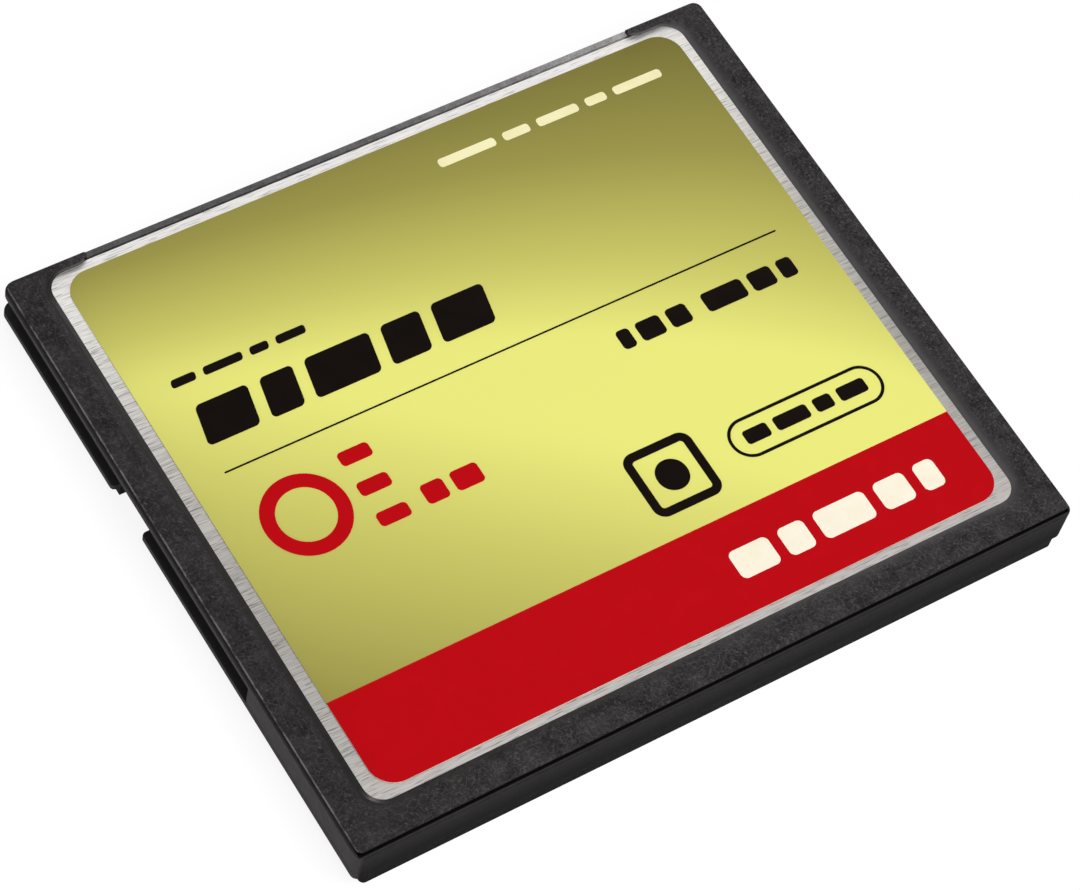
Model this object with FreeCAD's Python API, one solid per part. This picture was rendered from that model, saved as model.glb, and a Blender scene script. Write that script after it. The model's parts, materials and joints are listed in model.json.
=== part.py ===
import FreeCAD, Part
import os

# A compact flash memory card, lying flat with its label up.
# +X runs along the long side, +Y points to the socket edge, +Z is up.
# The origin is the middle of the card's footprint, on the plane it lies on. Millimetres.

# Whole card
card_width = 42.8
card_depth = 36.4
card_height = 3.3
corner_radius = 0.5
back_corner_radius = 0.7

# Bottom cover: a narrower lip that holds the bottom plate
lip_height = 0.76
lip_side_inset = 0.5
lip_corner_radius = 0.3

# Top cover rim: a thin raised border that stands on the frame
rim_height = 0.35
rim_side_inset = 0.14
rim_front_inset = 0.26
rim_back_inset = 0.14
rim_corner_radius = 0.3
rim_back_radius = 0.5
rim_edge_radius = 0.12
seam_height = 0.08
front_seam_height = 0.22
seam_depth = 0.15
front_gap_depth = 0.3
front_gap_land = 0.18
front_gap_reach = 0.5

# Window in both rims, through which the plates show
window_side_margin = 2.06
window_front_margin = 2.2
window_back_margin = 0.63
window_shift = 0.1
window_radius = 1.1
ramp_width = 0.85
ramp_radius = 1.6
ramp_foot_width = 0.3
ramp_foot_height = 0.2
arm_clearance = 0.15
arm_bow_length = 0.8
arm_bow_height = 0.28
arm_tip_radius = 0.2

# Steel plates
plate_thickness = 0.2
plate_side_margin = 1.25
plate_front_margin = 1.25
plate_back_margin = 0.45
plate_radius = 1.0
plate_clearance = 0.05
bottom_plate_recess = 0.35

# Label film on the top plate
label_thickness = 0.06
label_side_gap = 0.66
label_shift = 0.05
label_front_gap = 0.5
label_back_gap = 0.42
label_radius = 1.4

# Frame walls, guide grooves and side notches
side_wall = 2.7
front_wall = 1.8
cavity_radius = 0.5
board_shelf = 0.7
groove_depth = 1.05
groove_length = 25.78
groove_top_wall = 0.32
wide_groove_height = 1.5
narrow_groove_height = 0.99
notch_start = 12.1
notch_width = 3.0
notch_corner_radius = 0.3
tier_height = 1.4
tier_inset = 0.09
tier_foot = 0.95
rail_edge_radius = 0.12

# Socket: two rows of square holes
socket_end_margin = 1.26
socket_depth = 6.8
socket_clearance = 0.05
bezel_depth = 0.34
bezel_rise = 0.12
bezel_overhang = 0.12
contacts_per_row = 25
contact_pitch = 1.27
row_spacing = 1.27
hole_size = 0.6
hole_mouth = 0.86
mouth_depth = 0.25
back_web = 1.2

# Contact springs
spring_width = 0.4
spring_thickness = 0.12
spring_setback = 0.8
spring_length = 2.6
spring_bow = 0.16
spring_flat_start = 0.9
spring_flat_end = 1.5
tail_exit = 0.25
tail_drop = 0.5
tail_foot = 0.85
tail_clearance = 0.35

# Circuit board
board_thickness = 0.4
board_clearance = 0.1
board_radius = 0.6

# Memory packages: the length is what the board's other parts leave free
memory_left_margin = 1.75
memory_front_margin = 1.9
memory_standoff = 0.05
memory_headroom = 0.25
memory_chamfer = 0.5
lead_count = 24
lead_pitch = 0.5
lead_width = 0.2
lead_thickness = 0.1
lead_reach = 0.2
lead_run = 0.3
lead_foot = 0.35

# Other parts on the board
controller_size = 10.0
controller_base = 0.2
controller_cap_inset = 0.3
controller_gap = 4.25
controller_margin = 3.1
controller_headroom = 0.25
crystal_length = 3.2
crystal_width = 2.5
crystal_lid_inset = 0.2
crystal_margin = 6.0
crystal_headroom = 0.25
regulator_length = 2.9
regulator_width = 1.6
regulator_lead_width = 0.4
regulator_lead_spread = 0.95
regulator_margin = 13.2
regulator_headroom = 0.1
small_chip_length = 1.0
small_chip_width = 0.5
small_chip_thickness = 0.45
large_chip_length = 1.6
large_chip_width = 0.8
large_chip_headroom = 0.15
bypass_count = 7
bypass_step = 1.9
bypass_margin = 2.4
front_bypass_count = 5
front_bypass_step = 2.0
front_bypass_gap = 1.6
bulk_count = 3
bulk_step = 3.1
bulk_margin = 3.0
resistor_count = 9
resistor_step = 2.2
resistor_margin = 4.0
resistor_back_margin = 2.9

# Insulating films under the plates
film_thickness = 0.05
film_margin = 0.3

# Places worked out from the values above
half_width = card_width / 2
half_depth = card_depth / 2
frame_top = card_height - rim_height
frame_bottom = lip_height
mid_height = card_height / 2
top_plate_under = frame_top - plate_thickness
bottom_plate_top = bottom_plate_recess + plate_thickness
board_top = mid_height + board_thickness / 2
board_under = mid_height - board_thickness / 2
window_left = -half_width + window_side_margin + window_shift
window_right = half_width - window_side_margin + window_shift
window_front = -half_depth + window_front_margin
window_back = half_depth - window_back_margin
plate_half = half_width - plate_side_margin
plate_front = -half_depth + plate_front_margin
plate_back = half_depth - plate_back_margin
socket_width = (contacts_per_row - 1) * contact_pitch + 2 * socket_end_margin
bezel_half = socket_width / 2 + bezel_overhang
socket_back = half_depth - socket_depth
tail_end = socket_back - tail_exit - tail_drop - tail_foot
cavity_half = half_width - side_wall
cavity_front = -half_depth + front_wall
cavity_back = socket_back
groove_top = frame_top - groove_top_wall
front_gap_end = -half_depth + rim_front_inset + front_gap_reach
film_under = top_plate_under - film_thickness
board_half = cavity_half - board_clearance
board_front = cavity_front + board_clearance
board_back = cavity_back - board_clearance
lead_span = lead_reach + lead_run + lead_foot
memory_left = -board_half + memory_left_margin + lead_span
controller_left = board_half - controller_margin - controller_size
memory_right = controller_left - controller_gap - lead_span
memory_front = board_front + memory_front_margin
memory_back = memory_front + lead_count * lead_pitch
memory_x = (memory_left + memory_right) / 2
memory_y = (memory_front + memory_back) / 2
memory_thickness = film_under - memory_headroom - memory_standoff - board_top
controller_x = controller_left + controller_size / 2
controller_thickness = film_under - controller_headroom - board_top
free_band_y = (memory_back + tail_end) / 2
crystal_x = board_half - crystal_margin
crystal_thickness = film_under - crystal_headroom - board_top
regulator_x = board_half - regulator_margin
regulator_thickness = film_under - regulator_headroom - memory_standoff - board_top

# How far cutters reach past what they cut, and how near counts as the same height
slack = 0.5
tolerance = 1e-6


def rounded_wire(x0, x1, y0, y1, radius, z, back_radius=None):
    """Closed outline of a rectangle with round corners, at height z. The two back corners may differ."""
    vec = FreeCAD.Vector
    r = radius
    b = radius if back_radius is None else back_radius
    k = r * (1 - 0.5 ** 0.5)
    m = b * (1 - 0.5 ** 0.5)
    corners = [
        (vec(x1 - r, y0, z), vec(x1 - k, y0 + k, z), vec(x1, y0 + r, z)),
        (vec(x1, y1 - b, z), vec(x1 - m, y1 - m, z), vec(x1 - b, y1, z)),
        (vec(x0 + b, y1, z), vec(x0 + m, y1 - m, z), vec(x0, y1 - b, z)),
        (vec(x0, y0 + r, z), vec(x0 + k, y0 + k, z), vec(x0 + r, y0, z)),
    ]
    edges = []
    for index, (start, middle, end) in enumerate(corners):
        edges.append(Part.Arc(start, middle, end).toShape())
        following = corners[(index + 1) % 4][0]
        edges.append(Part.makeLine(end, following))
    return Part.Wire(edges)


def rounded_prism(x0, x1, y0, y1, radius, z0, z1, back_radius=None):
    """Upright block with round vertical corners."""
    face = Part.Face(rounded_wire(x0, x1, y0, y1, radius, z0, back_radius))
    return face.extrude(FreeCAD.Vector(0, 0, z1 - z0))


def block(x0, x1, y0, y1, z0, z1):
    """Plain block between two opposite corners."""
    return Part.makeBox(x1 - x0, y1 - y0, z1 - z0, FreeCAD.Vector(x0, y0, z0))


def side_prism(points, y0, y1):
    """Outline given as (x, z) points, extruded along Y."""
    vectors = [FreeCAD.Vector(x, y0, z) for x, z in points]
    face = Part.Face(Part.makePolygon(vectors + vectors[:1]))
    return face.extrude(FreeCAD.Vector(0, y1 - y0, 0))


def strip_prism(points, width):
    """Outline given as (u, z) points in the XZ plane, extruded to both sides of Y = 0."""
    return side_prism(points, -width / 2, width / 2)


def mirror_x(shape):
    """The same shape on the other side of the card."""
    return shape.mirror(FreeCAD.Vector(0, 0, 0), FreeCAD.Vector(1, 0, 0))


def flip_z(shape):
    """The same shape under the middle plane of the card."""
    return shape.mirror(FreeCAD.Vector(0, 0, mid_height), FreeCAD.Vector(0, 0, 1))


def moved(shape, x, y, z=0):
    """Copy of a shape, shifted."""
    copy = shape.copy()
    copy.translate(FreeCAD.Vector(x, y, z))
    return copy


def strip_outline(path, thickness):
    """Outline of a bent sheet-metal strip: the path, and the path pushed out by its thickness."""
    vec = FreeCAD.Vector
    points = [vec(u, 0, z) for u, z in path]
    normals = []
    for start, end in zip(points[:-1], points[1:]):
        run = (end - start).normalize()
        normals.append(vec(-run.z, 0, run.x))
    outer = [points[0] + normals[0] * thickness]
    for index in range(1, len(points) - 1):
        before, after = normals[index - 1], normals[index]
        middle = (before + after).normalize()
        outer.append(points[index] + middle * (thickness / middle.dot(before)))
    outer.append(points[-1] + normals[-1] * thickness)
    return [(p.x, p.z) for p in points + outer[::-1]]


def window_wire(spread, radius, z):
    """Window outline, spread out at its sides and front."""
    x0, x1 = window_left - spread, window_right + spread
    return rounded_wire(x0, x1, window_front - spread, window_back, radius, z)


def window_cutter(z_plate, z_face):
    """Ramped opening of a rim: a steep foot at the plate, then a flatter slope out to the rim's face."""
    z_foot = z_plate + (z_face - z_plate) * ramp_foot_height / rim_height
    wires = [
        window_wire(0, window_radius, z_plate),
        window_wire(ramp_foot_width, (window_radius + ramp_radius) / 2, z_foot),
        window_wire(ramp_width, ramp_radius, z_face),
    ]
    return Part.makeLoft(wires, True, True)


def socket_gap_cutter(rim_back, z0, z1):
    """Gap for the socket between the rim's two arms, whose tips are bowed inside and round outside."""
    vec = FreeCAD.Vector
    r = arm_tip_radius
    k = r * (1 - 0.5 ** 0.5)
    half = socket_width / 2 + arm_clearance
    bow = half + arm_bow_length
    y_in, y_out = window_back, rim_back
    y_bow = y_in + arm_bow_height
    middle = vec(-half - arm_bow_length / 3, y_in + arm_bow_height / 3, z0)
    corner = vec(-half - k, y_out - k, z0)
    left = [
        Part.makeLine(vec(-bow, y_in - slack, z0), vec(-bow, y_in, z0)),
        Part.Arc(vec(-bow, y_in, z0), middle, vec(-half, y_bow, z0)).toShape(),
        Part.makeLine(vec(-half, y_bow, z0), vec(-half, y_out - r, z0)),
        Part.Arc(vec(-half, y_out - r, z0), corner, vec(-half - r, y_out, z0)).toShape(),
        Part.makeLine(vec(-half - r, y_out, z0), vec(-half - r, half_depth + slack, z0)),
    ]
    right = [mirror_x(edge) for edge in left]
    ends = [
        Part.makeLine(vec(-half - r, half_depth + slack, z0), vec(half + r, half_depth + slack, z0)),
        Part.makeLine(vec(-bow, y_in - slack, z0), vec(bow, y_in - slack, z0)),
    ]
    outline = Part.Wire(Part.__sortEdges__(left + right + ends))
    return Part.Face(outline).extrude(vec(0, 0, z1 - z0))


def notch_cutter(side, z1):
    """Notch through the lower guide rail, open below, with round outer corners."""
    vec = FreeCAD.Vector
    r = notch_corner_radius
    k = r * (1 - 0.5 ** 0.5)
    y1 = half_depth - notch_start
    y0 = y1 - notch_width
    inner = half_width - groove_depth
    outer = half_width + slack
    z0 = -slack
    edges = [
        Part.makeLine(vec(inner, y0, z0), vec(inner, y1, z0)),
        Part.makeLine(vec(inner, y1, z0), vec(half_width - r, y1, z0)),
        Part.Arc(vec(half_width - r, y1, z0), vec(half_width - k, y1 + k, z0),
                 vec(half_width, y1 + r, z0)).toShape(),
        Part.makeLine(vec(half_width, y1 + r, z0), vec(outer, y1 + r, z0)),
        Part.makeLine(vec(outer, y1 + r, z0), vec(outer, y0 - r, z0)),
        Part.makeLine(vec(outer, y0 - r, z0), vec(half_width, y0 - r, z0)),
        Part.Arc(vec(half_width, y0 - r, z0), vec(half_width - k, y0 - k, z0),
                 vec(half_width - r, y0, z0)).toShape(),
        Part.makeLine(vec(half_width - r, y0, z0), vec(inner, y0, z0)),
    ]
    cutter = Part.Face(Part.Wire(edges)).extrude(vec(0, 0, z1 - z0))
    return cutter if side > 0 else mirror_x(cutter)


def top_edges(shape, z):
    """Edges that lie wholly at height z."""
    return [e for e in shape.Edges if all(abs(v.Z - z) < tolerance for v in e.Vertexes)]


def rim_footprint(shrink, z0, z1):
    """Upright block on the top rim's outline, shrunk all round."""
    x = half_width - rim_side_inset - shrink
    y0 = -half_depth + rim_front_inset + shrink
    y1 = half_depth - rim_back_inset - shrink
    return rounded_prism(-x, x, y0, y1, rim_corner_radius - shrink, z0, z1, rim_back_radius - shrink)


def seam_cutter(y1, height):
    """Undercut round the foot of the top rim, from the front edge back to y1."""
    seam = block(-half_width, half_width, -half_depth, y1, frame_top, frame_top + height)
    return seam.cut(rim_footprint(seam_depth, frame_top, frame_top + height))


def make_top_cover_rim():
    """Thin raised border with two arms beside the socket and a shadow seam at its foot."""
    rim = rim_footprint(0, frame_top, card_height)
    rim = rim.makeFillet(rim_edge_radius, top_edges(rim, card_height))
    rim = rim.cut([seam_cutter(half_depth, seam_height), seam_cutter(front_gap_end, front_seam_height)])
    rim = rim.cut(window_cutter(frame_top, card_height))
    return rim.cut(socket_gap_cutter(half_depth - rim_back_inset, frame_top, card_height))


def front_gap_cutter():
    """Narrow gap under the top rim's front edge, behind a land on the front wall."""
    x = half_width - front_gap_land
    y0 = -half_depth + front_gap_land
    z0 = frame_top - front_gap_depth
    gap = rounded_prism(-x, x, y0, half_depth, rim_corner_radius - seam_depth, z0, frame_top)
    gap = gap.cut(rim_footprint(seam_depth, z0, frame_top))
    return gap.common(block(-half_width, half_width, -half_depth, front_gap_end, z0, frame_top))


def make_plate(z):
    """Flat steel plate with round corners, its lower face at height z."""
    x = plate_half - plate_clearance
    y0 = plate_front + plate_clearance
    y1 = plate_back - plate_clearance
    return rounded_prism(-x, x, y0, y1, plate_radius, z, z + plate_thickness)


def make_label():
    """Printed film on the top plate."""
    x0 = window_left + label_side_gap + label_shift
    x1 = window_right - label_side_gap + label_shift
    y0 = window_front + label_front_gap
    y1 = window_back - label_back_gap
    return rounded_prism(x0, x1, y0, y1, label_radius, frame_top, frame_top + label_thickness)


def make_bottom_cover_rim():
    """Bottom border: plate pocket above, ramped window below, notches at both sides."""
    x = half_width - lip_side_inset
    rim = rounded_prism(-x, x, -half_depth, half_depth, lip_corner_radius, 0, lip_height)
    pocket = rounded_prism(-plate_half, plate_half, plate_front, plate_back, plate_radius,
                           bottom_plate_recess, lip_height)
    rim = rim.cut([pocket, window_cutter(bottom_plate_recess, 0)])
    rim = rim.cut(socket_gap_cutter(half_depth, 0, lip_height))
    return rim.cut([notch_cutter(1, lip_height), notch_cutter(-1, lip_height)])


def rail_cutters():
    """Side cuts on the right side: sloped lower tier and round lower edge."""
    x, r, z = half_width, rail_edge_radius, frame_bottom
    slope = side_prism([(x, tier_foot), (x - tier_inset, tier_height), (x + slack, tier_height),
                        (x + slack, tier_foot)], -half_depth - slack, half_depth + slack)
    edge = block(x - r, x + slack, -half_depth - slack, half_depth + slack, z - slack, z + r)
    axis = FreeCAD.Vector(0, 1, 0)
    start = FreeCAD.Vector(x - r, -half_depth - slack, z + r)
    edge = edge.cut(Part.makeCylinder(r, card_depth + 2 * slack, start, axis))
    return [slope, edge]


def groove_cutter(side, height):
    """Guide groove, open at the side and at the socket edge."""
    inner = half_width - groove_depth
    y0 = half_depth - groove_length
    cutter = block(inner, half_width + slack, y0, half_depth + slack, groove_top - height, groove_top)
    return cutter if side > 0 else mirror_x(cutter)


def make_main_frame():
    """Main plastic frame: walls, grooves, notches, board shelf, plate seat and socket bay."""
    frame = rounded_prism(-half_width, half_width, -half_depth, half_depth, corner_radius,
                          frame_bottom, frame_top, back_corner_radius)
    sides = rail_cutters()
    frame = frame.cut(sides + [mirror_x(s) for s in sides])
    frame = frame.cut([groove_cutter(-1, wide_groove_height), groove_cutter(1, narrow_groove_height)])
    frame = frame.cut([notch_cutter(-1, groove_top - wide_groove_height),
                       notch_cutter(1, groove_top - narrow_groove_height)])
    x = plate_half - plate_clearance
    foot = rounded_prism(-x, x, plate_front + plate_clearance, plate_back - plate_clearance,
                         plate_radius, bottom_plate_top, frame_bottom)
    frame = frame.fuse(foot.cut([notch_cutter(-1, frame_bottom), notch_cutter(1, frame_bottom)]))
    seat = rounded_prism(-plate_half, plate_half, plate_front, plate_back, plate_radius,
                         top_plate_under, frame_top)
    upper = rounded_prism(-cavity_half, cavity_half, cavity_front, cavity_back, cavity_radius,
                          board_under, frame_top)
    shelf_half = cavity_half - board_shelf
    lower = rounded_prism(-shelf_half, shelf_half, cavity_front + board_shelf, cavity_back,
                          cavity_radius, bottom_plate_top, board_under)
    bay_half = socket_width / 2 + socket_clearance
    bay_front = tail_end - tail_clearance
    bay = block(-bay_half, bay_half, bay_front, half_depth + slack, bottom_plate_top, frame_top)
    mouth_half = bezel_half + socket_clearance
    mouth = block(-mouth_half, mouth_half, half_depth - bezel_depth - socket_clearance, half_depth + slack,
                  bottom_plate_top, frame_top)
    frame = frame.cut([seat, upper, lower, bay, mouth, front_gap_cutter()])
    return frame.removeSplitter()


def hole_columns():
    """X places of the contacts."""
    span = (contacts_per_row - 1) * contact_pitch
    return [-span / 2 + i * contact_pitch for i in range(contacts_per_row)]


def pyramid_mouth(z):
    """Square lead-in that narrows from the socket's face to the hole."""
    vec = FreeCAD.Vector
    wires = []
    for half, y in ((hole_size / 2, half_depth - mouth_depth), (hole_mouth / 2, half_depth)):
        corners = [vec(-half, y, z - half), vec(half, y, z - half),
                   vec(half, y, z + half), vec(-half, y, z + half)]
        wires.append(Part.makePolygon(corners + corners[:1]))
    return Part.makeLoft(wires, True, True)


def make_connector_housing():
    """Socket block with fifty square holes and a raised bezel at its face."""
    half = socket_width / 2
    body = block(-half, half, socket_back, half_depth, bottom_plate_top, top_plate_under)
    bezel = block(-bezel_half, bezel_half, half_depth - bezel_depth, half_depth,
                  bottom_plate_top - bezel_rise, top_plate_under + bezel_rise)
    body = body.fuse(bezel).removeSplitter()
    z = mid_height + row_spacing / 2
    h = hole_size / 2
    bore = block(-h, h, socket_back + back_web, half_depth, z - h, z + h)
    slot = block(-spring_width / 2, spring_width / 2, socket_back, socket_back + back_web,
                 z + h - spring_thickness, z + h)
    hole = bore.fuse([slot, pyramid_mouth(z)])
    cutters = []
    for x in hole_columns():
        upper = moved(hole, x, 0)
        cutters += [upper, flip_z(upper)]
    return body.cut(cutters)


def contact_spring():
    """One contact of the upper row: bowed spring in its hole, tail bent down to the board."""
    roof = mid_height + (row_spacing + hole_size) / 2
    under = roof - spring_thickness
    tip = half_depth - spring_setback
    bow_back = tip - spring_length
    tail = socket_back - tail_exit
    foot = tail - tail_drop
    path = [
        (foot - tail_foot, board_top),
        (foot, board_top),
        (tail, under),
        (bow_back, under),
        (tip - spring_flat_end, under - spring_bow),
        (tip - spring_flat_start, under - spring_bow),
        (tip, under),
    ]
    outline = strip_outline(path, spring_thickness)
    strip = strip_prism(outline, spring_width)
    strip.rotate(FreeCAD.Vector(0, 0, 0), FreeCAD.Vector(0, 0, 1), 90)
    return strip


def contact_row(flipped):
    """All contacts of one row as separate solids."""
    spring = contact_spring()
    if flipped:
        spring = flip_z(spring)
    return Part.makeCompound([moved(spring, x, 0) for x in hole_columns()])


def make_circuit_board():
    """Board that rests on the frame's shelf and ends just behind the socket."""
    return rounded_prism(-board_half, board_half, board_front, board_back,
                         board_radius, board_under, board_top)


def make_memory_chip():
    """Thin package with one corner chamfered, standing just clear of the board."""
    z = board_top + memory_standoff
    c = memory_chamfer
    outline = [(memory_left + c, memory_front), (memory_right, memory_front), (memory_right, memory_back),
               (memory_left, memory_back), (memory_left, memory_front + c)]
    vectors = [FreeCAD.Vector(x, y, z) for x, y in outline]
    face = Part.Face(Part.makePolygon(vectors + vectors[:1]))
    return face.extrude(FreeCAD.Vector(0, 0, memory_thickness))


def gull_wing(side, middle, width):
    """Lead that leaves a package at u = side and height middle, and bends down to the board."""
    path = [
        (side, middle),
        (side + lead_reach, middle),
        (side + lead_reach + lead_run, board_top),
        (side + lead_span, board_top),
    ]
    return strip_prism(strip_outline(path, lead_thickness), width)


def memory_leads():
    """Gull-wing leads along both short sides of the memory package."""
    middle = board_top + memory_standoff + memory_thickness / 2
    lead = gull_wing((memory_right - memory_left) / 2, middle, lead_width)
    first = -(lead_count - 1) * lead_pitch / 2
    leads = []
    for i in range(lead_count):
        right = moved(lead, 0, first + i * lead_pitch)
        leads += [right, mirror_x(right)]
    return moved(Part.makeCompound(leads), memory_x, memory_y)


def make_controller_chip():
    """Controller package: a thin base with a smaller moulded cap."""
    h = controller_size / 2
    c = h - controller_cap_inset
    z = board_top
    base = block(-h, h, -h, h, z, z + controller_base)
    cap = block(-c, c, -c, c, z + controller_base, z + controller_thickness)
    return moved(base.fuse(cap).removeSplitter(), controller_x, memory_y)


def make_clock_crystal():
    """Crystal can: ceramic tray with a smaller lid, in one piece."""
    x, y = crystal_length / 2, crystal_width / 2
    i = crystal_lid_inset
    z = board_top
    step = z + crystal_thickness / 2
    tray = rounded_prism(-x, x, -y, y, i, z, step)
    lid = rounded_prism(-x + i, x - i, -y + i, y - i, i, step, z + crystal_thickness)
    return moved(tray.fuse(lid).removeSplitter(), crystal_x, free_band_y)


def make_voltage_regulator():
    """Small regulator body."""
    x, y = regulator_length / 2, regulator_width / 2
    z = board_top + memory_standoff
    body = block(-x, x, -y, y, z, z + regulator_thickness)
    return moved(body, regulator_x, free_band_y)


def regulator_leads():
    """Two leads on the regulator's back side and three on its front side."""
    middle = board_top + memory_standoff + regulator_thickness / 2
    lead = gull_wing(regulator_width / 2, middle, regulator_lead_width)
    lead.rotate(FreeCAD.Vector(0, 0, 0), FreeCAD.Vector(0, 0, 1), 90)
    front = lead.mirror(FreeCAD.Vector(0, 0, 0), FreeCAD.Vector(0, 1, 0))
    leads = [moved(lead, i * regulator_lead_spread, 0) for i in (-1, 1)]
    leads += [moved(front, i * regulator_lead_spread, 0) for i in (-1, 0, 1)]
    return moved(Part.makeCompound(leads), regulator_x, free_band_y)


def chip_row(count, step, x0, y, length, width, thickness):
    """Row of equal small board parts along X, as separate solids on the board's top."""
    chips = []
    for i in range(count):
        x = x0 + i * step
        chips.append(block(x - length / 2, x + length / 2, y - width / 2, y + width / 2,
                           board_top, board_top + thickness))
    return chips


def small_chip_row(count, step, x0, y):
    """Row of the smaller chip parts."""
    return chip_row(count, step, x0, y, small_chip_length, small_chip_width, small_chip_thickness)


def bypass_capacitors():
    """Capacitors behind the memory package and in front of the controller."""
    row = (front_bypass_count - 1) * front_bypass_step
    front_y = memory_y - controller_size / 2 - front_bypass_gap
    back_y = (memory_back + free_band_y - large_chip_width / 2) / 2
    chips = small_chip_row(bypass_count, bypass_step, -board_half + bypass_margin, back_y)
    chips += small_chip_row(front_bypass_count, front_bypass_step, controller_x - row / 2, front_y)
    return Part.makeCompound(chips)


def bulk_capacitors():
    """Three larger capacitors in the free band between the memory package and the socket."""
    thickness = film_under - large_chip_headroom - board_top
    chips = chip_row(bulk_count, bulk_step, -board_half + bulk_margin, free_band_y,
                     large_chip_length, large_chip_width, thickness)
    return Part.makeCompound(chips)


def chip_resistors():
    """Row of resistors in front of the contact tails."""
    y = board_back - resistor_back_margin
    return Part.makeCompound(small_chip_row(resistor_count, resistor_step, -board_half + resistor_margin, y))


def make_film(z, half, front):
    """Thin insulating sheet between a plate and the board."""
    return rounded_prism(-half + film_margin, half - film_margin, front + film_margin,
                         cavity_back - film_margin, cavity_radius, z, z + film_thickness)


def build():
    """All pieces by node name."""
    shelf_half = cavity_half - board_shelf
    shelf_front = cavity_front + board_shelf
    return {
        "top_cover_rim": make_top_cover_rim(),
        "top_cover_plate": make_plate(top_plate_under),
        "front_label": make_label(),
        "main_frame": make_main_frame(),
        "bottom_cover_rim": make_bottom_cover_rim(),
        "bottom_cover_plate": make_plate(bottom_plate_recess),
        "connector_housing": make_connector_housing(),
        "contact_row_upper": contact_row(False),
        "contact_row_lower": contact_row(True),
        "circuit_board": make_circuit_board(),
        "memory_chip_upper": make_memory_chip(),
        "memory_chip_lower": flip_z(make_memory_chip()),
        "memory_leads_upper": memory_leads(),
        "memory_leads_lower": flip_z(memory_leads()),
        "controller_chip": make_controller_chip(),
        "clock_crystal": make_clock_crystal(),
        "voltage_regulator": make_voltage_regulator(),
        "regulator_leads": regulator_leads(),
        "bypass_capacitors": bypass_capacitors(),
        "bulk_capacitors": bulk_capacitors(),
        "chip_resistors": chip_resistors(),
        "insulating_film_upper": make_film(film_under, cavity_half, cavity_front),
        "insulating_film_lower": make_film(bottom_plate_top, shelf_half, shelf_front),
    }


os.makedirs("parts", exist_ok=True)
for name, shape in build().items():
    shape.exportStep("parts/" + name + ".step")
    box = shape.BoundBox
    print(name, len(shape.Solids), shape.isValid(), round(shape.Volume, 3),
          [round(v, 2) for v in (box.XMin, box.XMax, box.YMin, box.YMax, box.ZMin, box.ZMax)])
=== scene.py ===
import json
import math

import bpy
import numpy as np
from mathutils import Matrix, Vector


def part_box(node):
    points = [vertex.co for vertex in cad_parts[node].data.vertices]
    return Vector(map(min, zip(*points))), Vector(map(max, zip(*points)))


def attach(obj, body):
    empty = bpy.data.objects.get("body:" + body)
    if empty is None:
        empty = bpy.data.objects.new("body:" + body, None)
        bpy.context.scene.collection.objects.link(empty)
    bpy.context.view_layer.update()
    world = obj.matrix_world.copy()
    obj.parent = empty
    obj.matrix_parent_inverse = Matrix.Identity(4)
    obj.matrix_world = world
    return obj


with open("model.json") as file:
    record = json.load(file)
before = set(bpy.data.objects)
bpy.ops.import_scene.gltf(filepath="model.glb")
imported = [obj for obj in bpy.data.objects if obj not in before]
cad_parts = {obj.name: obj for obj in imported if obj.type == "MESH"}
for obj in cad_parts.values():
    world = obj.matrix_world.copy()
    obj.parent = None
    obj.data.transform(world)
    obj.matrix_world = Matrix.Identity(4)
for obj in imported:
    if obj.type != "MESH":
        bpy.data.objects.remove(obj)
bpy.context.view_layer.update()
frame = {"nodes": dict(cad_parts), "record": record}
nodes = frame["nodes"]
mm = 0.001
print("stage 1: frame loaded,", len(nodes), "nodes")


# Small helpers for node trees

def addNode(tree, kind, inputs=None, **settings):
    # one shader node: settings are its own options, inputs are numbers or sockets to link
    node = tree.nodes.new("ShaderNode" + kind)
    for key, value in settings.items():
        setattr(node, key, value)
    for key, value in (inputs or {}).items():
        if isinstance(value, bpy.types.NodeSocket):
            tree.links.new(value, node.inputs[key])
        else:
            node.inputs[key].default_value = value
    return node


def calc(tree, operation, a, b=0.0, c=0.0, clamp=False):
    # one Math node
    return addNode(tree, "Math", {0: a, 1: b, 2: c}, operation=operation, use_clamp=clamp).outputs[0]


def product(tree, *factors):
    # all factors multiplied
    result = factors[0]
    for factor in factors[1:]:
        result = calc(tree, "MULTIPLY", result, factor)
    return result


def highest(tree, *values):
    # the highest of some values
    result = values[0]
    for value in values[1:]:
        result = calc(tree, "MAXIMUM", result, value)
    return result


def remap(tree, value, fromLow, fromHigh, toLow=0.0, toHigh=1.0, smooth=False):
    # value between two bounds, carried over to two other bounds
    kind = "SMOOTHSTEP" if smooth else "LINEAR"
    inputs = {"Value": value, "From Min": fromLow, "From Max": fromHigh, "To Min": toLow, "To Max": toHigh}
    return addNode(tree, "MapRange", inputs, interpolation_type=kind).outputs["Result"]


def noise(tree, place, scale, detail=2.0, roughness=0.5):
    # noise texture: outputs its value first, and its colour
    inputs = {"Vector": place, "Scale": scale, "Detail": detail, "Roughness": roughness}
    return addNode(tree, "TexNoise", inputs).outputs


def stretch(tree, place, factors):
    # a place with each coordinate times its factor
    return addNode(tree, "VectorMath", {0: place, 1: factors}, operation="MULTIPLY").outputs[0]


def mixColor(tree, factor, a, b):
    # a where factor is 0, b where it is 1
    return addNode(tree, "Mix", {0: factor, 6: a, 7: b}, data_type="RGBA").outputs[2]


def colorStops(tree, value, stops):
    # colour ramp: stops are (place, colour)
    node = addNode(tree, "ValToRGB", {"Fac": value})
    ramp = node.color_ramp
    ramp.elements[0].position, ramp.elements[0].color = stops[0]
    ramp.elements[1].position, ramp.elements[1].color = stops[-1]
    for place, color in stops[1:-1]:
        ramp.elements.new(place).color = color
    return node.outputs["Color"]


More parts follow.
